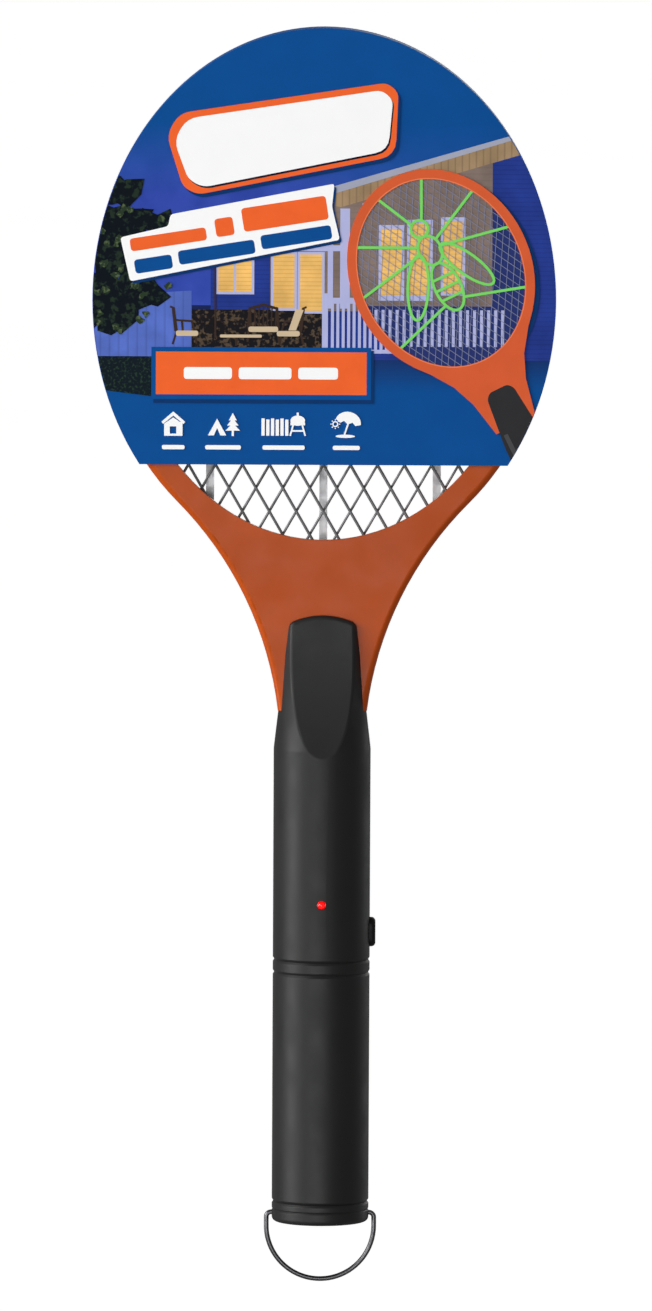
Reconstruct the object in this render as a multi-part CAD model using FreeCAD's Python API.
"""Electric fly swatter: an oval racket head with three electrode layers, on a round battery handle.

Frame: the origin is on the handle's axis, in the ridge band half way down the handle, where a hand holds it.
+Z runs along the handle to the head, +X is the push button's side and -Y is the front, where the lamp is.
All sizes are in millimetres.

Head: two moulded frame shells clamp a stack of front mesh, spacer, centre electrode, spacer and rear mesh.
Handle: two half shells with flat tongues grip the frame's tang. Below them are a battery tube for two AA
cells and a screwed tail cap with a wire bail. A cardboard display sleeve slips over the head from above.
"""
import FreeCAD, Part
import math
import os

V = FreeCAD.Vector
X_AXIS, Y_AXIS, Z_AXIS = V(1, 0, 0), V(0, 1, 0), V(0, 0, 1)
OVERSHOOT = 1.0             # how far a cutting shape sticks out of what it cuts
FAR = 200.0                 # beyond the end of everything, for cutting away one side

# Head frame
HEAD_Z = 248.0              # centre of the oval opening
OPENING_X = 74.2            # half width of the oval opening
OPENING_Z = 89.0            # half height of the oval opening
RING_WIDTH = 9.4            # width of the frame's ring, seen from the front
FRAME_HALF = 8.0            # half thickness of the frame
FRAME_SKIN = 2.0            # wall of the frame's shells
FRAME_ROUND = 2.4           # rounding of the frame's outer edges
THROAT_START = 139.6        # where the throat leaves the ring's ellipse, degrees from the top
THROAT_R = 132.0            # radius of the hollow curve from the ring to the handle
THROAT_WALL = 2.2
SHOULDER_Z = 95.5           # where the frame narrows to its tang
THROAT_POCKET_Z = (SHOULDER_Z + 4, HEAD_Z - 76)
TANG_HALF = 12.0            # half width of the tang
TANG_END_Z = 74.0
TANG_WALL = 3.0
TANG_PLAY = 0.15            # between the tang and the handle's slot for it

# Electrode stack
LAYER_PITCH = 4.6           # from one layer's middle to the next
MESH_THICK = 0.6
ELECTRODE_THICK = 0.8
STACK_LIP = 3.0             # how far the stack's rims reach under the frame's lip
INNER_SETBACK = 1.2         # how far the spacers and the rear shell's edge stand back from the front lip
STACK_GAP = 0.1
CHANNEL_PLAY = 0.2          # round the stack's rims
CHANNEL_WALL = 1.5          # of the channel that holds them, less the play
MESH_PITCH_X = 10.0         # across the diamonds
MESH_PITCH_Z = MESH_PITCH_X * math.sqrt(3)
MESH_WIRE = 0.75
WINDOW_GROW = 0.6           # how far the open mesh reaches under the frame's lip
MESH_KNOT_Z = 169.5         # height of one crossing on the centre line
BAR_WIDTH = 3.0
BAR_SPACING = 42.0
TAB_WIDTH = 4.0
TAB_END_Z = 151.5
TAB_X = 8.0

# Screws and their bosses
SCREW_COUNT = 8             # round the ring
BOSS_R = 2.4
SCREW_R = 0.8
SCREW_BITE = 0.05           # radial play in a hole where the screw holds
SCREW_PLAY = 0.3            # radial play in a through hole
SCREW_HEAD_R = 1.9
SCREW_HEAD_H = 1.2
SCREW_HEAD_ROUND = 0.4
RECESS_HALF = 0.2           # of the cross recess: half its width, its reach and its depth
RECESS_REACH = 1.1
RECESS_DEPTH = 0.7

# Handle
HANDLE_R = 18.0
HANDLE_WALL = 2.0
HANDLE_BOTTOM_Z = 2.4       # the seam between the handle's shells and the battery tube
TAPER_START_Z = 81.0        # where the round handle starts to narrow into the tongue
TONGUE_HALF = 12.4          # half width of the tongue at its corners
TONGUE_CORNER_Z = 128.2
TONGUE_CORNER_R = 3.2
TONGUE_TOP_Z = 131.1
TONGUE_TOP_R = 14.9         # radius of the narrowing round body at the tongue's top
TONGUE_ROUND = 1.5          # rounding round the tongue's face
FORM_TOP_Z = TONGUE_TOP_Z + 5
SCARF_START = (HANDLE_R, 78.5)      # the tongue's face in side view: (depth, z) at three heights
SCARF_MIDDLE = (13.3, 98.5)
SCARF_END = (10.4, FORM_TOP_Z)
SCARF_SLOPE = 0.3           # of the face where it leaves the round handle
CAVITY_TOP_Z = 90.0
HANDLE_BOSS_X = 12.3
HANDLE_BOSS_Z = (30.0, 62.0)
HANDLE_BOSS_R = 2.6
HANDLE_SCREW_Y = (5.5, -8.0)        # depths of a handle screw's head seat and of its tip
TONGUE_SCREW_X = 7.0
TONGUE_SCREW_Z = 101.5
TONGUE_SCREW_Y = (9.6, -10.0)
GROOVE_DEPTH = 0.55
GROOVE_HALF = 0.9

# Battery tube and tail cap
TUBE_END_Z = -88.0
BATTERY_BORE_R = 15.1
THREAD_PITCH = 3.0
THREAD_HEIGHT = 0.8
THREAD_ROOT_HALF = 0.6      # half width of the thread's ridge at its root and at its crest
THREAD_CREST_HALF = 0.32
THREAD_SUNK = 0.3           # how deep the ridge's root is sunk in its wall
THREAD_TURNS = 1.8
THREAD_START = 1.6          # from the tube's end to the middle of the plug's first turn
MOUTH_R = 15.8
MOUTH_DEPTH = 9.5
NECK_R = 15.8
NECK_BORE_R = 13.6
NECK_TOP_Z = 11.0
NECK_GROOVE = 1.2           # depth of the neck's groove, where a rib of the handle's shells holds the tube
NECK_RIB_Z = (6.0, 8.0)
CAP_END_Z = -95.7
PLUG_R = 14.8
PLUG_TOP_Z = -80.0
CAP_BORE_R = 12.8
CAP_FLOOR_Z = -93.7
CAP_ROUND = 1.8
CAP_LINE_Z = -91.0          # the faint line round the cap
POST_R = 2.6
RIVET_R = 1.4
RIVET_DEPTH = 5.8
RIVET_HEAD_R = 2.8
RIVET_HEAD_H = 0.7
BRIDGE_R = 12.6
BRIDGE_PLAY = 0.1           # radial, on the rivet
BRIDGE_Z = (PLUG_TOP_Z + 0.3, PLUG_TOP_Z + 1.1)
SPRING_FOOT_Z = BRIDGE_Z[1] + 0.05

# Bail
BAIL_PIVOT_Z = -92.5
BAIL_WIRE_R = 0.9
BAIL_HALF = 20.0
BAIL_CENTRE_Z = -97.5
BAIL_BEND_R = 1.8
BAIL_END_X = 12.0
BAIL_PLAY = 0.08            # radial, in the cap's holes

# AA cells
CELL_R = 7.15
CELL_LENGTH = 49.2
CELL_NUB_R = 2.7
CELL_NUB_H = 1.3
CELL_ROUND = 0.5
CELL_X = 7.35
CELL_BOTTOM_Z = -74.0
CELL_TOP_Z = CELL_BOTTOM_Z + CELL_LENGTH + CELL_NUB_H
CARRIER_Z = CELL_TOP_Z + 5.4        # underside of the disc that holds the live contacts
CARRIER_THICK = 2.4
CONTACT_THICK = 0.4
CONTACT_GAP = 0.05
TAIL_HALF = 1.8             # half width of the contacts' solder tails
TAIL_TOP_Z = CARRIER_Z + 5.0

# Contact springs
SPRING_R = 3.4
SPRING_WIRE_R = 0.35
SPRING_HEIGHT = 4.8
SPRING_TURNS = 3.5
SPRING_CONE = 3.0           # degrees

# Circuit board
BOARD_HALF = 9.5
BOARD_FACE_Y = 4.0
BOARD_THICK = 1.6
BOARD_BOTTOM_Z = -14.0
BOARD_TOP_Z = 72.0
BOARD_SCREWS = ((0.0, 29.0), (6.0, 68.5))
BOARD_SCREW_LENGTH = 7.0

# Circuit parts. Heights are above the board's front face
CORE_HALF = 6.5
CORE_Z = (33.0, 45.0)
CORE_HEIGHT = 12.0
CORE_WINDOW_HALF = 4.6
CORE_WINDOW_Z = (35.2, 42.8)
CORE_LEG_HALF = 1.7
CORE_LEG_HEIGHTS = (4.5, 8.5)
WINDING_HEIGHTS = (1.0, 11.5)
WINDING_GAP = 0.1
FILM_HALF = 7.5
FILM_Z = (48.0, 64.0)
FILM_HEIGHTS = (1.2, 10.0)
FILM_ROUND = 1.8
FILM_LEG_X = 5.0
DISC_R = 3.4
DISC_X = -5.6
DISC_THICK = 2.6
DISC_HEIGHT = 5.0           # of its middle
DISC_ROUND = 0.8
DISC_LEG_Z = 2.2            # on both sides of its middle
DISC_PLACES = (1.5, -6.5)
LEG_HALF = 0.25             # half width of square legs
LEG_WIRE_R = 0.3
LEG_BEND_R = 0.7
LEG_REACH = 1.6             # from a lying part's end to its bent leg
LYING_GAP = 0.3             # between a lying part and the board
DIODE_R, DIODE_LENGTH = 1.3, 4.2
DIODE_PLACES = ((0.5, 1.0), (4.0, 1.0), (0.5, -8.0))
RESISTOR_R, RESISTOR_LENGTH = 1.1, 6.0
RESISTOR_PLACES = ((5.5, -8.0), (-6.5, 26.0), (7.5, 26.0))
TRANSISTOR_R = 2.3
TRANSISTOR_X, TRANSISTOR_Z = -3.0, 13.5
TRANSISTOR_HEIGHTS = (4.0, 8.4)
TRANSISTOR_FLAT = 1.3       # from its middle to its flat face
LEG_PITCH = 1.27

# Lamp and push button
LAMP_Z = 24.1
LAMP_R = 1.5
LAMP_PLAY = 0.15
LAMP_PROUD = 0.9            # of the dome, beyond the handle
LAMP_FLANGE_R = 1.9
LAMP_FLANGE_Y = (-15.6, -14.6)
BUTTON_Z = 12.6
BUTTON_LENGTH = 11.0
BUTTON_WIDTH = 6.0
BUTTON_TOP_X = 20.1
BUTTON_FOOT_X = 13.9        # where the released button rests on the switch's plunger
BUTTON_ROUND = 1.5
BUTTON_PLAY = 0.25
FLANGE_TOP_X = 15.0
FLANGE_LENGTH = BUTTON_LENGTH + 2.4
FLANGE_WIDTH = BUTTON_WIDTH + 2.0
SWITCH_X = (5.0, 12.0)
SWITCH_FRONT_Y = -3.2
SWITCH_HALF_Z = 3.6
SWITCH_ROUND = 0.4
SWITCH_WELL_X = 8.5
PLUNGER_R = 1.6
PLUNGER_PLAY = 0.15
PLUNGER_FOOT_X = 10.2

# Leads
LEAD_R = 0.75
LEAD_BEND_R = 3.0
CELL_LEAD_R = 0.7
CELL_LEAD_BEND_R = 1.0
LEAD_Y = BOARD_FACE_Y - 1.0         # where leads leave the board
LEAD_FOOT_Z = 64.5

# Display sleeve
CARD_X = 85.7
CARD_Z = 100.5
CARD_THICK = 0.5
CARD_CLEAR = 0.4
CARD_BOTTOM_Z = 187.0
CARD_RIM_BOTTOM_Z = 252.0

# Glow insert
INSERT_THICK = 1.2
INSERT_STROKE = 1.8
INSERT_PLAY = 0.1           # between the limbs' ends and the frame
INSERT_Y = -(LAYER_PITCH + MESH_THICK / 2 + 0.05 + INSERT_THICK)    # its front face, just before the mesh
INSECT_HEAD = (293.0, 8.0)          # (height of its middle, radius)
INSECT_CHEST = (271.0, 10.5, 14.0)  # (height of its middle, half width, half height)
INSECT_TAIL = (234.0, 12.0, 23.5)
TAIL_BANDS = (224.0, 234.0, 244.0)
INSECT_WING = (25.0, 245.0, 9.5, 30.0)      # (x, height, half width, half length)
WING_TILT = 28.0
# Each pair of limbs: (x, height) where it starts, and where it meets the frame, in degrees from the top
LIMBS = (
    ((9.0, 278.0), 52.0),
    ((10.4, 271.0), 83.0),
    ((9.0, 219.0), 121.0),
    ((5.0, 299.2), 17.0),
)


# ---------------------------------------------------------------- helpers

def box(x0, x1, y0, y1, z0, z1):
    return Part.makeBox(x1 - x0, y1 - y0, z1 - z0, V(x0, y0, z0))


def rod(radius, start, end):
    """A round rod from one point to another."""
    return Part.makeCylinder(radius, (end - start).Length, start, end - start)


def upright(radius, z0, z1, x=0.0, y=0.0):
    return rod(radius, V(x, y, z0), V(x, y, z1))


def ring(outer, inner, z0, z1):
    return upright(outer, z0, z1).cut(upright(inner, z0, z1))


def turned(points):
    """A solid of revolution about Z from (radius, z) points."""
    wire = Part.makePolygon([V(r, 0, z) for r, z in points + points[:1]])
    return Part.Face(wire).revolve(V(0, 0, 0), Z_AXIS, 360)


def plate(points, y0, y1):
    """A flat plate from (x, z) points, between two depths."""
    wire = Part.makePolygon([V(x, y0, z) for x, z in points + points[:1]])
    return Part.Face(wire).extrude(V(0, y1 - y0, 0))


def ellipse_curve(half_x, half_z, y=0.0, centre_z=HEAD_Z):
    """An ellipse in a plane of constant depth. half_z is the larger; its parameter starts at the top."""
    return Part.Ellipse(V(0, y, centre_z + half_z), V(half_x, y, centre_z), V(0, y, centre_z))


def oval_face(grow, y=0.0):
    """The opening's oval, grown on all sides."""
    edge = ellipse_curve(OPENING_X + grow, OPENING_Z + grow, y).toShape()
    return Part.Face(Part.Wire(edge))


def oval(grow, y0, y1):
    return oval_face(grow, y0).extrude(V(0, y1 - y0, 0))


def mirrored_y(shape):
    return shape.mirror(V(0, 0, 0), Y_AXIS)


def fused(shapes):
    return shapes[0].multiFuse(shapes[1:]).removeSplitter() if len(shapes) > 1 else shapes[0]


def bent_path(points, radius):
    """Straight runs joined by tangent arcs of one radius, as a wire."""
    edges, start = [], points[0]
    for before, corner, after in zip(points, points[1:], points[2:]):
        to_before = (before - corner).normalize()
        to_after = (after - corner).normalize()
        half = to_before.getAngle(to_after) / 2
        reach = radius / math.tan(half)
        middle_way = (to_before + to_after).normalize()
        centre = corner + middle_way * (radius / math.sin(half))
        arc_start = corner + to_before * reach
        arc_end = corner + to_after * reach
        edges.append(Part.LineSegment(start, arc_start).toShape())
        edges.append(Part.Arc(arc_start, centre - middle_way * radius, arc_end).toShape())
        start = arc_end
    edges.append(Part.LineSegment(start, points[-1]).toShape())
    return Part.Wire(edges)


def tube_along(path, radius):
    """A round solid rod swept along a wire."""
    first = path.OrderedEdges[0]
    start = first.valueAt(first.FirstParameter)
    direction = first.tangentAt(first.FirstParameter)
    section = Part.Wire(Part.makeCircle(radius, start, direction))
    return path.makePipeShell([section], True, False)


def saved(name, shape):
    """Writes one node, and stops the build if it isn't made of closed solids."""
    if not shape.isValid() or not shape.Solids or min(s.Volume for s in shape.Solids) <= 0:
        raise RuntimeError(f"{name} is not a valid closed solid")
    keep = shape.Solids[0] if len(shape.Solids) == 1 else Part.makeCompound(shape.Solids)
    keep.exportStep(f"parts/{name}.step")
    print(f"{name:26s} {len(shape.Solids):3d} solids {keep.Volume / 1000:9.3f} cm3")


# ---------------------------------------------------------------- head frame

def throat_geometry():
    """Where the ring's ellipse ends on +X, and the centre of the hollow throat curve."""
    half_x, half_z = OPENING_X + RING_WIDTH, OPENING_Z + RING_WIDTH
    angle = math.radians(THROAT_START)
    leave = V(half_x * math.sin(angle), 0, HEAD_Z + half_z * math.cos(angle))
    normal = V(math.sin(angle) / half_x, 0, math.cos(angle) / half_z).normalize()
    return leave, leave + normal * THROAT_R


def throat_x(z, inset=0.0):
    """Half width of the throat's outline at a height, less a wall."""
    centre = throat_geometry()[1]
    return centre.x - math.sqrt((THROAT_R + inset) ** 2 - (z - centre.z) ** 2)


def throat_edges(z0, z1, inset, y):
    """The closed outline between two heights, with the hollow throat curves at its sides."""
    middle = (z0 + z1) / 2
    low, mid, high = ((throat_x(z, inset), z) for z in (z0, middle, z1))
    right = Part.Arc(V(low[0], y, z0), V(mid[0], y, middle), V(high[0], y, z1))
    left = Part.Arc(V(-high[0], y, z1), V(-mid[0], y, middle), V(-low[0], y, z0))
    bottom = Part.LineSegment(V(-low[0], y, z0), V(low[0], y, z0))
    top = Part.LineSegment(V(high[0], y, z1), V(-high[0], y, z1))
    return Part.Wire([e.toShape() for e in (bottom, right, top, left)])


def frame_block():
    """The front half of the frame as a solid block with rounded front edges, without the tang."""
    leave = throat_geometry()[0]
    angle = math.radians(THROAT_START)
    y = -FRAME_HALF
    curve = ellipse_curve(OPENING_X + RING_WIDTH, OPENING_Z + RING_WIDTH, y)
    ring_edge = curve.toShape(-angle, angle)
    foot_x = throat_x(SHOULDER_Z)
    middle_z = (SHOULDER_Z + leave.z) / 2
    sides = []
    for side in (1, -1):
        foot = V(side * foot_x, y, SHOULDER_Z)
        middle = V(side * throat_x(middle_z), y, middle_z)
        sides.append(Part.Arc(foot, middle, V(side * leave.x, y, leave.z)).toShape())
    base = Part.LineSegment(V(-foot_x, y, SHOULDER_Z), V(foot_x, y, SHOULDER_Z)).toShape()
    outline = Part.Wire(Part.__sortEdges__([ring_edge, base] + sides))
    block = Part.Face(outline).extrude(V(0, FRAME_HALF, 0))
    front_edges = [
        e for e in block.Edges
        if abs(e.BoundBox.YMin + FRAME_HALF) < 1e-6
        and abs(e.BoundBox.YMax + FRAME_HALF) < 1e-6
        and e.BoundBox.ZMax > SHOULDER_Z + 1
    ]
    return block.makeFillet(FRAME_ROUND, front_edges)


def boss_places():
    """Centres of the ring's screw bosses, between the stack's channel and the outer wall."""
    reach = RING_WIDTH - FRAME_SKIN - BOSS_R / 2
    for k in range(SCREW_COUNT):
        angle = 2 * math.pi * (k + 0.5) / SCREW_COUNT
        yield (OPENING_X + reach) * math.sin(angle), HEAD_Z + (OPENING_Z + reach) * math.cos(angle)


def frame_shell(setback):
    """The front frame shell, before its screw holes, with its opening grown by a setback."""
    floor = -(FRAME_HALF - FRAME_SKIN)
    tang = box(-TANG_HALF, TANG_HALF, -FRAME_HALF, 0, TANG_END_Z, SHOULDER_Z + OVERSHOOT)
    body = frame_block().fuse(tang)
    lip_back = -(LAYER_PITCH + MESH_THICK / 2 + STACK_GAP)
    channel = oval(STACK_LIP + CHANNEL_PLAY, lip_back, 0)
    channel_wall = oval(STACK_LIP + CHANNEL_WALL, floor, 0)
    ring_pocket = oval(RING_WIDTH - FRAME_SKIN, floor, 0)
    throat_face = Part.Face(throat_edges(*THROAT_POCKET_Z, THROAT_WALL, floor))
    throat_pocket = throat_face.extrude(V(0, -floor, 0))
    pocket_half = TANG_HALF - TANG_WALL
    tang_pocket = box(-pocket_half, pocket_half, floor, 0, TANG_END_Z - OVERSHOOT, THROAT_POCKET_Z[0] + 1)
    pocket = ring_pocket.fuse([throat_pocket, tang_pocket]).cut(channel_wall)
    for x, z in boss_places():
        pocket = pocket.cut(rod(BOSS_R, V(x, floor, z), V(x, 0, z)))
    for side in (1, -1):
        x = side * TONGUE_SCREW_X
        pocket = pocket.cut(rod(BOSS_R, V(x, floor, TONGUE_SCREW_Z), V(x, 0, TONGUE_SCREW_Z)))
    slot_half = TAB_X + TAB_WIDTH / 2 + 1
    tab_slot = box(-slot_half, slot_half, lip_back, 0, TAB_END_Z + 1, HEAD_Z - OPENING_Z)
    through = oval(setback, -FRAME_HALF - OVERSHOOT, OVERSHOOT)
    return body.cut(Part.makeCompound([pocket, channel, tab_slot])).cut(through)


def through_depth(radius, x, z, y0, y1):
    """A round cutting tool that runs along the depth at one place."""
    return rod(radius, V(x, y0, z), V(x, y1, z))


def head_frame_front():
    shell = frame_shell(0.0)
    for x, z in boss_places():
        shell = shell.cut(through_depth(SCREW_R + SCREW_BITE, x, z, -FRAME_HALF + FRAME_SKIN, OVERSHOOT))
    for side in (1, -1):
        x = side * TONGUE_SCREW_X
        hole = through_depth(SCREW_R + SCREW_PLAY, x, TONGUE_SCREW_Z, -FRAME_HALF - OVERSHOOT, OVERSHOOT)
        shell = shell.cut(hole)
    return shell


def head_frame_rear():
    shell = mirrored_y(frame_shell(INNER_SETBACK))
    outside = FRAME_HALF + OVERSHOOT
    for x, z in boss_places():
        shell = shell.cut(through_depth(SCREW_R + SCREW_PLAY, x, z, -OVERSHOOT, outside))
        shell = shell.cut(through_depth(SCREW_HEAD_R + SCREW_PLAY, x, z, FRAME_HALF - SCREW_HEAD_H, outside))
    for side in (1, -1):
        x = side * TONGUE_SCREW_X
        shell = shell.cut(through_depth(SCREW_R + SCREW_PLAY, x, TONGUE_SCREW_Z, -OVERSHOOT, outside))
    return shell


def screw(x, z, head_y, tip_y):
    """A pan-head tapping screw driven from the rear, with a cross recess."""
    top = head_y + SCREW_HEAD_H
    shank = rod(SCREW_R, V(x, head_y, z), V(x, tip_y, z))
    head = rod(SCREW_HEAD_R, V(x, head_y, z), V(x, top, z))
    head = head.makeFillet(SCREW_HEAD_ROUND, [e for e in head.Edges if e.BoundBox.YMin > top - 0.01])
    body = head.fuse(shank).removeSplitter()
    for half_x, half_z in ((RECESS_REACH, RECESS_HALF), (RECESS_HALF, RECESS_REACH)):
        body = body.cut(box(x - half_x, x + half_x, top - RECESS_DEPTH, top + 1, z - half_z, z + half_z))
    return body


def frame_screws():
    seat = FRAME_HALF - SCREW_HEAD_H
    tip = 1 + FRAME_SKIN - FRAME_HALF
    return Part.makeCompound([screw(x, z, seat, tip) for x, z in boss_places()])


# ---------------------------------------------------------------- electrode stack

def diamond_faces(y):
    """The mesh's diamond holes, cut off at the rim."""
    shrink = 1 - MESH_WIRE / (MESH_PITCH_X * math.sin(math.radians(60)))
    half_x, half_z = MESH_PITCH_X / 2 * shrink, MESH_PITCH_Z / 2 * shrink
    window = oval_face(WINDOW_GROW, y)
    holes = []
    rows = int(2 * OPENING_Z / (MESH_PITCH_Z / 2)) + 3
    columns = int(OPENING_X / MESH_PITCH_X) + 2
    for row in range(-2, rows):
        z = MESH_KNOT_Z + MESH_PITCH_Z / 2 * row
        shift = MESH_PITCH_X / 2 if row % 2 == 0 else 0.0
        for column in range(-columns, columns + 1):
            x = MESH_PITCH_X * column + shift
            corners = [(x + half_x, z), (x, z + half_z), (x - half_x, z), (x, z - half_z)]
            inside = [in_oval(cx, cz, WINDOW_GROW) for cx, cz in corners]
            if not any(inside):
                continue
            wire = Part.makePolygon([V(cx, y, cz) for cx, cz in corners + corners[:1]])
            face = Part.Face(wire)
            holes += [face] if all(inside) else face.common(window).Faces
    return [f for f in holes if f.Area > 1.0]


def in_oval(x, z, grow):
    return (x / (OPENING_X + grow)) ** 2 + ((z - HEAD_Z) / (OPENING_Z + grow)) ** 2 < 1


def solder_tab(tab_x, y0, y1):
    """The tab by which a layer is soldered to its lead, below the layer's rim."""
    rim_z = HEAD_Z - OPENING_Z - STACK_LIP / 2
    return box(tab_x - TAB_WIDTH / 2, tab_x + TAB_WIDTH / 2, y0, y1, TAB_END_Z, rim_z)


def diamond_mesh(middle_y, tab_x):
    """One diamond mesh with its rim and solder tab."""
    y0, y1 = middle_y - MESH_THICK / 2, middle_y + MESH_THICK / 2
    sheet = oval_face(STACK_LIP, y0).cut(Part.makeCompound(diamond_faces(y0))).Faces[0]
    return sheet.extrude(V(0, MESH_THICK, 0)).fuse(solder_tab(tab_x, y0, y1)).removeSplitter()


def centre_electrode():
    """The live layer: a hoop with three flat upright bars and a solder tab."""
    y0, y1 = -ELECTRODE_THICK / 2, ELECTRODE_THICK / 2
    reach = OPENING_Z + STACK_LIP
    bars = [box(x - BAR_WIDTH / 2, x + BAR_WIDTH / 2, y0 - 1, y1 + 1, HEAD_Z - reach, HEAD_Z + reach)
            for x in (-BAR_SPACING, 0, BAR_SPACING)]
    windows = oval(INNER_SETBACK, y0 - 0.5, y1 + 0.5).cut(Part.makeCompound(bars))
    return oval(STACK_LIP, y0, y1).fuse(solder_tab(0.0, y0, y1)).removeSplitter().cut(windows)


def mesh_spacer(y0, y1):
    """An insulating hoop between two layers, set back so that it hides behind the frame's lip."""
    return oval(STACK_LIP, y0, y1).cut(oval(INNER_SETBACK, y0 - 1, y1 + 1))


# ---------------------------------------------------------------- glow insert

def stroke_oval(x, z, half_x, half_z, tilt=0.0):
    """A flat hoop of the stroke's width round an oval; tilt in degrees turns it in the head's plane."""
    solids = []
    for grow, spare in ((INSERT_STROKE / 2, 0), (-INSERT_STROKE / 2, 1)):
        edge = ellipse_curve(half_x + grow, half_z + grow, INSERT_Y - spare, z).toShape()
        solids.append(Part.Face(Part.Wire(edge)).extrude(V(0, INSERT_THICK + 2 * spare, 0)))
    hoop = solids[0].cut(solids[1]).Solids[0]
    hoop.rotate(V(0, 0, z), Y_AXIS, tilt)
    hoop.translate(V(x, 0, 0))
    return hoop


def stroke_line(start, end):
    """A flat bar of the stroke's width between two (x, z) points."""
    run = V(end[0] - start[0], 0, end[1] - start[1])
    side = V(run.z, 0, -run.x).normalize() * (INSERT_STROKE / 2)
    a, b = V(start[0], INSERT_Y, start[1]), V(end[0], INSERT_Y, end[1])
    wire = Part.makePolygon([a + side, b + side, b - side, a - side, a + side])
    return Part.Face(wire).extrude(V(0, INSERT_THICK, 0))


def on_opening(angle):
    """A point on the opening's edge, by the angle from the top."""
    turn = math.radians(angle)
    return OPENING_X * math.sin(turn), HEAD_Z + OPENING_Z * math.cos(turn)


def glow_insert():
    """A plain winged insect in outline, seen from above, whose legs and feelers reach the frame."""
    head_z, head_r = INSECT_HEAD
    tail_z, tail_half, tail_length = INSECT_TAIL
    wing_x, *wing = INSECT_WING
    strokes = [stroke_oval(0, head_z, head_r, head_r + 0.01)]
    strokes += [stroke_oval(0, *INSECT_CHEST), stroke_oval(0, *INSECT_TAIL)]
    for height in TAIL_BANDS:
        half = tail_half * math.sqrt(1 - ((height - tail_z) / tail_length) ** 2)
        strokes.append(stroke_line((-half, height), (half, height)))
    for side in (1, -1):
        strokes.append(stroke_oval(side * wing_x, *wing, -side * WING_TILT))
        for (x, z), angle in LIMBS:
            strokes.append(stroke_line((side * x, z), on_opening(side * angle)))
    insert = strokes[0]
    for stroke in strokes[1:]:
        insert = insert.fuse(stroke)
    return insert.common(oval(-INSERT_PLAY, -FRAME_HALF, 0))


# ---------------------------------------------------------------- handle shells

def tongue_outline(shrink):
    """The handle as seen from the front: straight sides that taper to the tongue's arched top."""
    slope = (HANDLE_R - TONGUE_HALF) / (TONGUE_CORNER_Z - TAPER_START_Z)
    wide = HANDLE_R + 3
    wide_z = TAPER_START_Z - (wide - HANDLE_R) / slope
    low = HANDLE_BOTTOM_Z - 1
    corner = TONGUE_HALF - shrink
    corner_z = TONGUE_CORNER_Z - shrink
    top = V(0, -wide, TONGUE_TOP_Z - shrink)
    crown = Part.Arc(V(corner, -wide, corner_z), top, V(-corner, -wide, corner_z))
    sides = Part.makePolygon([
        V(-corner, -wide, corner_z), V(shrink - wide, -wide, wide_z), V(shrink - wide, -wide, low),
        V(wide - shrink, -wide, low), V(wide - shrink, -wide, wide_z), V(corner, -wide, corner_z)])
    block = Part.Face(Part.Wire([crown.toShape()] + sides.Edges)).extrude(V(0, 2 * wide, 0))
    corners = [e for e in block.Edges if e.BoundBox.ZMin > corner_z - 1 and e.BoundBox.YLength > wide]
    return block.makeFillet(TONGUE_CORNER_R, corners)


def tongue_profile(shrink):
    """The handle as seen from the side: the tongue's two hollow faces run out on the round handle."""
    wide = HANDLE_R + 3
    low = HANDLE_BOTTOM_Z - 1

    def at(depth, z):
        return V(-wide, depth, z)

    wide_z = SCARF_START[1] - (wide - HANDLE_R) / SCARF_SLOPE
    (start_d, start_z), (middle_d, middle_z), (end_d, end_z) = SCARF_START, SCARF_MIDDLE, SCARF_END
    edges = []
    for side in (-1, 1):
        start = at(side * (start_d - shrink), start_z)
        out = at(side * (wide - shrink), wide_z)
        middle, end = at(side * (middle_d - shrink), middle_z), at(side * (end_d - shrink), end_z)
        edges.append(Part.Arc(start, middle, end))
        edges.append(Part.LineSegment(start, out))
        edges.append(Part.LineSegment(out, at(side * (wide - shrink), low)))
    for depth, z in ((end_d - shrink, end_z), (wide - shrink, low)):
        edges.append(Part.LineSegment(at(-depth, z), at(depth, z)))
    outline = Part.Wire(Part.__sortEdges__([e.toShape() for e in edges]))
    return Part.Face(outline).extrude(V(2 * wide, 0, 0))


def handle_form(shrink=0.0):
    """The outside of the handle's two shells together; shrink makes the inside."""
    radius, top_radius = HANDLE_R - shrink, TONGUE_TOP_R - shrink
    body = turned([(0, HANDLE_BOTTOM_Z), (radius, HANDLE_BOTTOM_Z), (radius, TAPER_START_Z),
                   (top_radius, FORM_TOP_Z), (0, FORM_TOP_Z)])
    return body.common(tongue_outline(shrink)).common(tongue_profile(shrink))


def rounded_half():
    """The front half of the handle's form with the tongue's face rounded off all round."""
    half = handle_form().common(box(-FAR, FAR, -FAR, 0, 0, FAR))
    face = min((f for f in half.Faces if f.BoundBox.ZMax > TONGUE_TOP_Z - 0.5), key=lambda f: f.BoundBox.YMax)
    return half.makeFillet(TONGUE_ROUND, face.Edges)


def seam_groove(z, radius=HANDLE_R):
    """A V groove turned into the handle at a height."""
    return turned([(radius + 0.5, z - GROOVE_HALF - 0.5 * GROOVE_HALF / GROOVE_DEPTH),
                   (radius - GROOVE_DEPTH, z),
                   (radius + 0.5, z + GROOVE_HALF + 0.5 * GROOVE_HALF / GROOVE_DEPTH)])


def stadium(length, width, x0, x1, z=BUTTON_Z):
    """A solid with a stadium section in depth and height, running along X."""
    half = (length - width) / 2
    ends = [rod(width / 2, V(x0, 0, z + side * half), V(x1, 0, z + side * half)) for side in (1, -1)]
    return fused([box(x0, x1, -width / 2, width / 2, z - half, z + half)] + ends)


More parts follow.
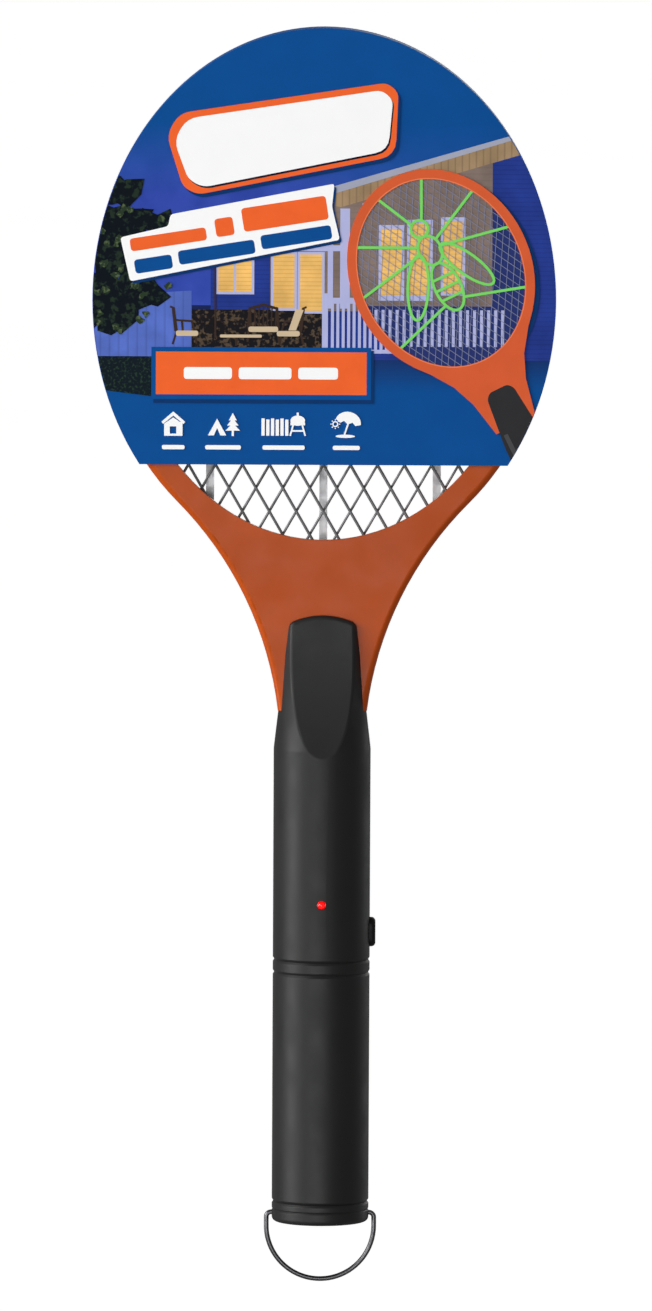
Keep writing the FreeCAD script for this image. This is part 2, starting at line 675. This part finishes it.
def button_notch():
    """The gap in the neck and its rib where the button's flange moves."""
    half_y, half_z = FLANGE_WIDTH / 2 + 1.2, FLANGE_LENGTH / 2 + 0.6
    return box(0, HANDLE_R, -half_y, half_y, BUTTON_Z - half_z, BUTTON_Z + FLANGE_LENGTH)


def handle_hollow():
    """What the shells leave free: the cavity, the frame's slot and tang, the lamp and the button."""
    cavity = handle_form(HANDLE_WALL).common(box(-FAR, FAR, -FAR, FAR, 0, CAVITY_TOP_Z))
    rib = ring(HANDLE_R - HANDLE_WALL + 0.1, NECK_R - NECK_GROOVE, *NECK_RIB_Z).cut(button_notch())
    cavity = cavity.cut(rib)
    slot_y, tang_x = FRAME_HALF + 0.1, TANG_HALF + TANG_PLAY
    slot = box(-FAR, FAR, -slot_y, slot_y, SHOULDER_Z - TANG_PLAY, FAR)
    tang = box(-tang_x, tang_x, -slot_y, slot_y, TANG_END_Z, SHOULDER_Z + OVERSHOOT)
    boss_y = HANDLE_R - HANDLE_WALL
    bosses = Part.makeCompound([through_depth(HANDLE_BOSS_R, side * HANDLE_BOSS_X, z, -boss_y, boss_y)
                                for side in (1, -1) for z in HANDLE_BOSS_Z])
    lamp = through_depth(LAMP_R + LAMP_PLAY, 0, LAMP_Z, -HANDLE_R - OVERSHOOT, 0)
    play = 2 * BUTTON_PLAY
    button = stadium(BUTTON_LENGTH + play, BUTTON_WIDTH + play, HANDLE_R - 4, HANDLE_R + 2)
    return cavity.cut(bosses).fuse([slot, tang, lamp, button])


def board_post(x, z):
    """A post inside the rear shell that carries the circuit board."""
    wall_y = math.sqrt((HANDLE_R - HANDLE_WALL) ** 2 - x ** 2) + 0.5
    board_back = BOARD_FACE_Y + BOARD_THICK
    post = through_depth(BOSS_R, x, z, board_back, wall_y)
    return post.cut(through_depth(SCREW_R + SCREW_BITE, x, z, 0, board_back + BOARD_SCREW_LENGTH - 1))


def handle_screw_places():
    """Each handle screw as (x, z, depth of its head's seat, depth of its tip)."""
    for side in (1, -1):
        for z in HANDLE_BOSS_Z:
            yield side * HANDLE_BOSS_X, z, *HANDLE_SCREW_Y
        yield side * TONGUE_SCREW_X, TONGUE_SCREW_Z, *TONGUE_SCREW_Y


def handle_front():
    """The front half of the upper handle, split on the middle plane."""
    shell = rounded_half().cut(handle_hollow()).cut(seam_groove(HANDLE_BOTTOM_Z))
    for x, z, seat_y, tip_y in handle_screw_places():
        shell = shell.cut(through_depth(SCREW_R + SCREW_BITE, x, z, tip_y - SCREW_PLAY, OVERSHOOT))
    return largest(shell)


def handle_rear():
    """The rear half, with the board's posts and the sunk seats of the screws."""
    shell = mirrored_y(rounded_half()).cut(handle_hollow()).cut(seam_groove(HANDLE_BOTTOM_Z))
    shell = shell.fuse([board_post(x, z) for x, z in BOARD_SCREWS])
    outside = HANDLE_R + OVERSHOOT
    for x, z, seat_y, tip_y in handle_screw_places():
        shell = shell.cut(through_depth(SCREW_R + SCREW_PLAY, x, z, -OVERSHOOT, outside))
        shell = shell.cut(through_depth(SCREW_HEAD_R + SCREW_PLAY, x, z, seat_y, outside))
    return largest(shell)


def largest(shape):
    return max(shape.Solids, key=lambda s: s.Volume)


def handle_screws():
    return Part.makeCompound([screw(*place) for place in handle_screw_places()])


# ---------------------------------------------------------------- battery tube, tail cap and bail

def thread_ridge(root_r, crest_r, z0, turns):
    """A right-hand helical ridge on Z, with a trapezium section from a root radius to a crest radius."""
    helix = Part.makeHelix(THREAD_PITCH, THREAD_PITCH * turns, root_r)
    profile = Part.makePolygon([V(root_r, 0, -THREAD_ROOT_HALF), V(crest_r, 0, -THREAD_CREST_HALF),
                                V(crest_r, 0, THREAD_CREST_HALF), V(root_r, 0, THREAD_ROOT_HALF),
                                V(root_r, 0, -THREAD_ROOT_HALF)])
    ridge = Part.Wire(helix.Edges).makePipeShell([profile], True, True)
    ridge = Part.Solid(ridge) if ridge.ShapeType == "Shell" else ridge
    ridge.translate(V(0, 0, z0))
    return ridge


def battery_tube():
    low, high = TUBE_END_Z, HANDLE_BOTTOM_Z
    body = fused([upright(HANDLE_R, low, high), upright(NECK_R, high - 1, NECK_TOP_Z)])
    shoulder = CARRIER_Z + CARRIER_THICK + 0.1
    bore = fused([upright(BATTERY_BORE_R, low - OVERSHOOT, shoulder),
                  upright(NECK_BORE_R, shoulder - OVERSHOOT, NECK_TOP_Z + OVERSHOOT),
                  upright(MOUTH_R, low - OVERSHOOT, low + MOUTH_DEPTH)])
    body = body.cut(bore)
    neck_groove = ring(NECK_R + 1, NECK_R - NECK_GROOVE - 0.2, NECK_RIB_Z[0] - 0.15, NECK_RIB_Z[1] + 0.15)
    for z in (HANDLE_BOTTOM_Z, -HANDLE_BOTTOM_Z, TUBE_END_Z):
        body = body.cut(seam_groove(z))
    body = body.cut(neck_groove).cut(button_notch())
    start = low + THREAD_START + THREAD_PITCH / 2
    return body.fuse(thread_ridge(MOUTH_R + THREAD_SUNK, MOUTH_R - THREAD_HEIGHT, start, THREAD_TURNS))


def tail_cap():
    body = upright(HANDLE_R, CAP_END_Z, TUBE_END_Z - 0.05)
    body = body.makeFillet(CAP_ROUND, [e for e in body.Edges if e.BoundBox.ZMax < CAP_END_Z + 0.01])
    body = body.fuse(upright(PLUG_R, TUBE_END_Z - OVERSHOOT, PLUG_TOP_Z))
    body = body.cut(upright(CAP_BORE_R, CAP_FLOOR_Z, PLUG_TOP_Z + OVERSHOOT))
    body = body.fuse(upright(POST_R, CAP_FLOOR_Z - 0.5, PLUG_TOP_Z + 0.2))
    body = body.cut(upright(RIVET_R, PLUG_TOP_Z - RIVET_DEPTH - 0.2, PLUG_TOP_Z + OVERSHOOT))
    body = body.cut(seam_groove(TUBE_END_Z)).cut(seam_groove(CAP_LINE_Z, HANDLE_R + 0.25))
    for side in (1, -1):
        hole_start = V(side * (BAIL_END_X - 1), 0, BAIL_PIVOT_Z)
        hole_end = V(side * (HANDLE_R + OVERSHOOT), 0, BAIL_PIVOT_Z)
        body = body.cut(rod(BAIL_WIRE_R + BAIL_PLAY, hole_start, hole_end))
    start = TUBE_END_Z + THREAD_START
    return body.fuse(thread_ridge(PLUG_R - THREAD_SUNK, PLUG_R + THREAD_HEIGHT, start, THREAD_TURNS))


def bridge_disc():
    """The loose contact plate that joins both cells; it turns freely on the cap's rivet."""
    return ring(BRIDGE_R, RIVET_R + BRIDGE_PLAY, *BRIDGE_Z)


def bridge_rivet():
    """The rivet in the cap's post, whose head keeps the bridge disc on."""
    head = upright(RIVET_HEAD_R, SPRING_FOOT_Z, SPRING_FOOT_Z + RIVET_HEAD_H)
    return fused([head, upright(RIVET_R, PLUG_TOP_Z - RIVET_DEPTH, SPRING_FOOT_Z + 0.1)])


def coil_spring(x, foot_z):
    """A slightly conical coil spring that stands on a height, widening upwards."""
    rise = SPRING_HEIGHT - 2 * SPRING_WIRE_R
    helix = Part.makeLongHelix(rise / SPRING_TURNS, rise, SPRING_R, SPRING_CONE)
    tangent = helix.Edges[0].tangentAt(helix.Edges[0].FirstParameter)
    section = Part.Wire(Part.makeCircle(SPRING_WIRE_R, V(SPRING_R, 0, 0), tangent))
    spring = Part.Wire(helix.Edges).makePipeShell([section], True, True)
    spring.translate(V(x, 0, foot_z + SPRING_WIRE_R))
    return spring


def bridge_springs():
    return Part.makeCompound([coil_spring(side * CELL_X, SPRING_FOOT_Z) for side in (1, -1)])


def hanging_bail():
    right = [V(BAIL_END_X, 0, BAIL_PIVOT_Z), V(BAIL_HALF, 0, BAIL_PIVOT_Z), V(BAIL_HALF, 0, BAIL_CENTRE_Z)]
    left = [V(-p.x, 0, p.z) for p in reversed(right)]
    bow = Part.Arc(right[-1], V(0, 0, BAIL_CENTRE_Z - BAIL_HALF), left[0]).toShape()
    edges = bent_path(right, BAIL_BEND_R).Edges + [bow] + bent_path(left, BAIL_BEND_R).Edges
    return tube_along(Part.Wire(edges), BAIL_WIRE_R)


# ---------------------------------------------------------------- cells and contacts

def aa_cell(side, nub_up):
    """A cell with its nub up or down; side is the side of the handle it lies on."""
    can = upright(CELL_R, 0, CELL_LENGTH)
    can = can.makeFillet(CELL_ROUND, can.Edges[0:1] + can.Edges[2:3])
    cell = can.fuse(upright(CELL_NUB_R, CELL_LENGTH - 0.2, CELL_LENGTH + CELL_NUB_H)).removeSplitter()
    if not nub_up:
        cell.rotate(V(0, 0, (CELL_LENGTH + CELL_NUB_H) / 2), X_AXIS, 180)
    cell.translate(V(side * CELL_X, 0, CELL_BOTTOM_Z))
    return cell


def contact_carrier():
    """The plastic disc above the cells that holds the two live contacts."""
    disc = upright(BATTERY_BORE_R - 0.1, CARRIER_Z, CARRIER_Z + CARRIER_THICK)
    half = TAIL_HALF + 0.2
    for side in (1, -1):
        x = side * CELL_X
        disc = disc.cut(box(x - half, x + half, -1, 1, CARRIER_Z - OVERSHOOT, TAIL_TOP_Z))
    return disc


def contact_plate(x, z, half):
    """A square contact plate at a height, with a solder tail up through the carrier."""
    pad = box(x - half, x + half, -half, half, z, z + CONTACT_THICK)
    sheet = CONTACT_THICK / 2
    tail = box(x - TAIL_HALF, x + TAIL_HALF, -sheet, sheet, z + sheet, TAIL_TOP_Z)
    return pad.fuse(tail).removeSplitter()


def contact_positive():
    """Touches the nub of the first cell."""
    return contact_plate(CELL_X, CELL_TOP_Z + CONTACT_GAP, 4.0)


def contact_negative():
    """Lies under the carrier and carries the second cell's coil spring."""
    return contact_plate(-CELL_X, CARRIER_Z - CONTACT_GAP - CONTACT_THICK, 4.5)


def contact_spring():
    return coil_spring(-CELL_X, CARRIER_Z - 2 * CONTACT_GAP - CONTACT_THICK - SPRING_HEIGHT)


# ---------------------------------------------------------------- circuit

def on_board(x0, x1, heights, z0, z1):
    """A box between two heights above the board's front face."""
    return box(x0, x1, BOARD_FACE_Y - heights[1], BOARD_FACE_Y - heights[0], z0, z1)


def square_leg(x, z, height, half=LEG_HALF):
    """A square leg that stands on the board."""
    return on_board(x - half, x + half, (0, height), z - half, z + half)


def circuit_board():
    back = BOARD_FACE_Y + BOARD_THICK
    board = box(-BOARD_HALF, BOARD_HALF, BOARD_FACE_Y, back, BOARD_BOTTOM_Z, BOARD_TOP_Z)
    holes = [through_depth(SCREW_R + SCREW_PLAY, x, z, 0, back + OVERSHOOT) for x, z in BOARD_SCREWS]
    return board.cut(Part.makeCompound(holes))


def board_screws():
    """The two screws that fasten the board, driven from its front face."""
    tip = -BOARD_FACE_Y - BOARD_SCREW_LENGTH
    return Part.makeCompound([mirrored_y(screw(x, z, -BOARD_FACE_Y, tip)) for x, z in BOARD_SCREWS])


def transformer_core():
    """A ferrite core of two E halves, taped together round the bobbin."""
    z0, z1 = CORE_WINDOW_Z
    block = on_board(-CORE_HALF, CORE_HALF, (0, CORE_HEIGHT), *CORE_Z)
    block = block.cut(on_board(-CORE_WINDOW_HALF, CORE_WINDOW_HALF, (0, CORE_HEIGHT + OVERSHOOT), z0, z1))
    leg = on_board(-CORE_LEG_HALF, CORE_LEG_HALF, CORE_LEG_HEIGHTS, z0 - 0.2, z1 + 0.2)
    return block.fuse(leg).removeSplitter()


def transformer_winding():
    """The bobbin with its taped winding, round the core's middle leg."""
    half, hole = CORE_WINDOW_HALF - WINDING_GAP, CORE_LEG_HALF + WINDING_GAP
    z0, z1 = CORE_WINDOW_Z[0] + WINDING_GAP, CORE_WINDOW_Z[1] - WINDING_GAP
    hole_heights = CORE_LEG_HEIGHTS[0] - WINDING_GAP, CORE_LEG_HEIGHTS[1] + WINDING_GAP
    outer = on_board(-half, half, WINDING_HEIGHTS, z0, z1)
    return outer.cut(on_board(-hole, hole, hole_heights, z0 - OVERSHOOT, z1 + OVERSHOOT))


def hv_capacitor():
    """The dipped film capacitor that stores the high voltage."""
    body = on_board(-FILM_HALF, FILM_HALF, FILM_HEIGHTS, *FILM_Z)
    body = body.makeFillet(FILM_ROUND, body.Edges)
    middle_z = sum(FILM_Z) / 2
    legs = [square_leg(side * FILM_LEG_X, middle_z, 2.0, LEG_WIRE_R) for side in (1, -1)]
    return fused([body] + legs)


def multiplier_capacitors():
    """Two dipped disc capacitors of the voltage multiplier."""
    discs = []
    y = BOARD_FACE_Y - DISC_HEIGHT
    for z in DISC_PLACES:
        disc = rod(DISC_R, V(DISC_X - DISC_THICK / 2, y, z), V(DISC_X + DISC_THICK / 2, y, z))
        disc = disc.makeFillet(DISC_ROUND, disc.Edges[0:1] + disc.Edges[2:3])
        discs.append(fused([disc] + [square_leg(DISC_X, z + side * DISC_LEG_Z, 3.0) for side in (1, -1)]))
    return Part.makeCompound(discs)


def lying_part(x, z, radius, length):
    """An axial part that lies on the board along Z, with its wires bent down into the board."""
    y = BOARD_FACE_Y - radius - LYING_GAP
    body = rod(radius, V(x, y, z - length / 2), V(x, y, z + length / 2))
    body = body.makeFillet(radius * 0.3, body.Edges[0:1] + body.Edges[2:3])
    reach = length / 2 + LEG_REACH
    path = bent_path([V(x, BOARD_FACE_Y, z - reach), V(x, y, z - reach),
                      V(x, y, z + reach), V(x, BOARD_FACE_Y, z + reach)], LEG_BEND_R)
    return body.fuse(tube_along(path, LEG_WIRE_R))


def rectifier_diodes():
    return Part.makeCompound([lying_part(x, z, DIODE_R, DIODE_LENGTH) for x, z in DIODE_PLACES])


def resistors():
    return Part.makeCompound([lying_part(x, z, RESISTOR_R, RESISTOR_LENGTH) for x, z in RESISTOR_PLACES])


def drive_transistor():
    """A small three-legged transistor with one flat face."""
    x, z = TRANSISTOR_X, TRANSISTOR_Z
    low, high = TRANSISTOR_HEIGHTS
    body = through_depth(TRANSISTOR_R, x, z, BOARD_FACE_Y - high, BOARD_FACE_Y - low)
    body = body.cut(box(-FAR, FAR, -FAR, FAR, z + TRANSISTOR_FLAT, FAR))
    return fused([body] + [square_leg(x + k * LEG_PITCH, z, low + 0.2) for k in (-1, 0, 1)])


def indicator_lamp():
    """A round red lamp of 3 mm whose dome stands a little proud of the handle."""
    dome_y = -HANDLE_R - LAMP_PROUD + LAMP_R
    lens = through_depth(LAMP_R, 0, LAMP_Z, dome_y, LAMP_FLANGE_Y[0] + 0.5)
    dome = Part.makeSphere(LAMP_R, V(0, dome_y, LAMP_Z))
    flange = through_depth(LAMP_FLANGE_R, 0, LAMP_Z, *LAMP_FLANGE_Y)
    return fused([lens, dome, flange])


def lamp_leads():
    height = BOARD_FACE_Y - LAMP_FLANGE_Y[1]
    return Part.makeCompound([square_leg(side * LEG_PITCH, LAMP_Z, height) for side in (1, -1)])


# ---------------------------------------------------------------- switch and button

def switch_body():
    """The push switch on the board, with the well in which its plunger slides."""
    start, end = SWITCH_X
    body = box(start, end, SWITCH_FRONT_Y, BOARD_FACE_Y, BUTTON_Z - SWITCH_HALF_Z, BUTTON_Z + SWITCH_HALF_Z)
    body = body.makeFillet(SWITCH_ROUND, [e for e in body.Edges if e.BoundBox.XMin > end - 0.01])
    well = rod(PLUNGER_R + PLUNGER_PLAY, V(SWITCH_WELL_X, 0, BUTTON_Z), V(end + OVERSHOOT, 0, BUTTON_Z))
    return body.cut(well)


def switch_plunger():
    return rod(PLUNGER_R, V(PLUNGER_FOOT_X, 0, BUTTON_Z), V(BUTTON_FOOT_X, 0, BUTTON_Z))


def push_button():
    """The long button, with the flange that keeps it inside the handle."""
    cap = stadium(BUTTON_LENGTH, BUTTON_WIDTH, FLANGE_TOP_X - 0.5, BUTTON_TOP_X)
    cap = cap.makeFillet(BUTTON_ROUND, [e for e in cap.Edges if e.BoundBox.XMin > BUTTON_TOP_X - 0.01])
    flange = stadium(FLANGE_LENGTH, FLANGE_WIDTH, BUTTON_FOOT_X, FLANGE_TOP_X)
    return cap.fuse(flange).removeSplitter()


# ---------------------------------------------------------------- leads

def lead(points, radius=LEAD_R, bend=LEAD_BEND_R):
    return tube_along(bent_path(points, bend), radius)


def centre_lead():
    """From the board's top to the centre electrode's tab."""
    tab_y = ELECTRODE_THICK / 2 + LEAD_R + 0.05
    return lead([V(0, LEAD_Y, LEAD_FOOT_Z), V(0, LEAD_Y, 84), V(0, tab_y, 100), V(0, tab_y, TAB_END_Z + 2)])


def mesh_lead(side):
    """From the board's top to the tab of the front mesh (side -1) or the rear mesh (side 1)."""
    tab_y = side * (LAYER_PITCH - MESH_THICK / 2 - LEAD_R - 0.05)
    foot_x, tab_x = side * 3.0, side * TAB_X
    return lead([V(foot_x, LEAD_Y, LEAD_FOOT_Z), V(foot_x, LEAD_Y, 82), V(foot_x, tab_y, 104),
                 V(foot_x, tab_y, 122), V(tab_x, tab_y, 138), V(tab_x, tab_y, TAB_END_Z + 2)])


def cell_lead(side):
    """From a cell contact's tail to the foot of the board."""
    x, tail_y, foot = side * CELL_X, 1.0, BOARD_BOTTOM_Z
    path = [V(x, tail_y, TAIL_TOP_Z - 2), V(x, tail_y, foot + 1),
            V(x, LEAD_Y, foot + 3.5), V(x, LEAD_Y, foot + 6)]
    return lead(path, CELL_LEAD_R, CELL_LEAD_BEND_R)


# ---------------------------------------------------------------- display sleeve

def card_outline(shrink, y0, y1):
    edge = ellipse_curve(CARD_X - shrink, CARD_Z - shrink, y0).toShape()
    return Part.Face(Part.Wire(edge)).extrude(V(0, y1 - y0, 0))


def card_panel(front):
    """One printed panel of the sleeve: an oval with a straight foot."""
    inner = FRAME_HALF + CARD_CLEAR
    y0, y1 = (-inner - CARD_THICK, -inner) if front else (inner, inner + CARD_THICK)
    above_foot = box(-FAR, FAR, -FAR, FAR, CARD_BOTTOM_Z, 2 * FAR)
    return card_outline(0, y0, y1).common(above_foot)


def card_rim():
    """The band that joins the panels over the top of the head."""
    inner = FRAME_HALF + CARD_CLEAR
    inside = card_outline(CARD_THICK, -inner - OVERSHOOT, inner + OVERSHOOT)
    band = card_outline(0, -inner, inner).cut(inside)
    return band.common(box(-FAR, FAR, -FAR, FAR, CARD_RIM_BOTTOM_Z, 2 * FAR))


# ---------------------------------------------------------------- build

def build():
    os.makedirs("parts", exist_ok=True)
    saved("head_frame_front", head_frame_front())
    saved("head_frame_rear", head_frame_rear())
    saved("frame_screws", frame_screws())
    saved("front_mesh", diamond_mesh(-LAYER_PITCH, -TAB_X))
    saved("rear_mesh", diamond_mesh(LAYER_PITCH, TAB_X))
    saved("centre_electrode", centre_electrode())
    spacer_in = ELECTRODE_THICK / 2 + STACK_GAP
    spacer_out = LAYER_PITCH - MESH_THICK / 2 - STACK_GAP
    saved("mesh_spacer_front", mesh_spacer(-spacer_out, -spacer_in))
    saved("mesh_spacer_rear", mesh_spacer(spacer_in, spacer_out))
    saved("glow_insert", glow_insert())
    saved("handle_front", handle_front())
    saved("handle_rear", handle_rear())
    saved("handle_screws", handle_screws())
    saved("battery_tube", battery_tube())
    saved("tail_cap", tail_cap())
    saved("bridge_disc", bridge_disc())
    saved("bridge_rivet", bridge_rivet())
    saved("bridge_springs", bridge_springs())
    saved("hanging_bail", hanging_bail())
    saved("battery_right", aa_cell(1, True))
    saved("battery_left", aa_cell(-1, False))
    saved("contact_carrier", contact_carrier())
    saved("contact_positive", contact_positive())
    saved("contact_negative", contact_negative())
    saved("contact_spring", contact_spring())
    saved("circuit_board", circuit_board())
    saved("board_screws", board_screws())
    saved("transformer_core", transformer_core())
    saved("transformer_winding", transformer_winding())
    saved("hv_capacitor", hv_capacitor())
    saved("multiplier_capacitors", multiplier_capacitors())
    saved("rectifier_diodes", rectifier_diodes())
    saved("resistors", resistors())
    saved("drive_transistor", drive_transistor())
    saved("indicator_lamp", indicator_lamp())
    saved("lamp_leads", lamp_leads())
    saved("switch_body", switch_body())
    saved("switch_plunger", switch_plunger())
    saved("push_button", push_button())
    saved("centre_lead", centre_lead())
    saved("front_mesh_lead", mesh_lead(-1))
    saved("rear_mesh_lead", mesh_lead(1))
    saved("cell_lead_positive", cell_lead(1))
    saved("cell_lead_negative", cell_lead(-1))
    saved("display_card_front", card_panel(True))
    saved("display_card_rear", card_panel(False))
    saved("display_card_rim", card_rim())


build()
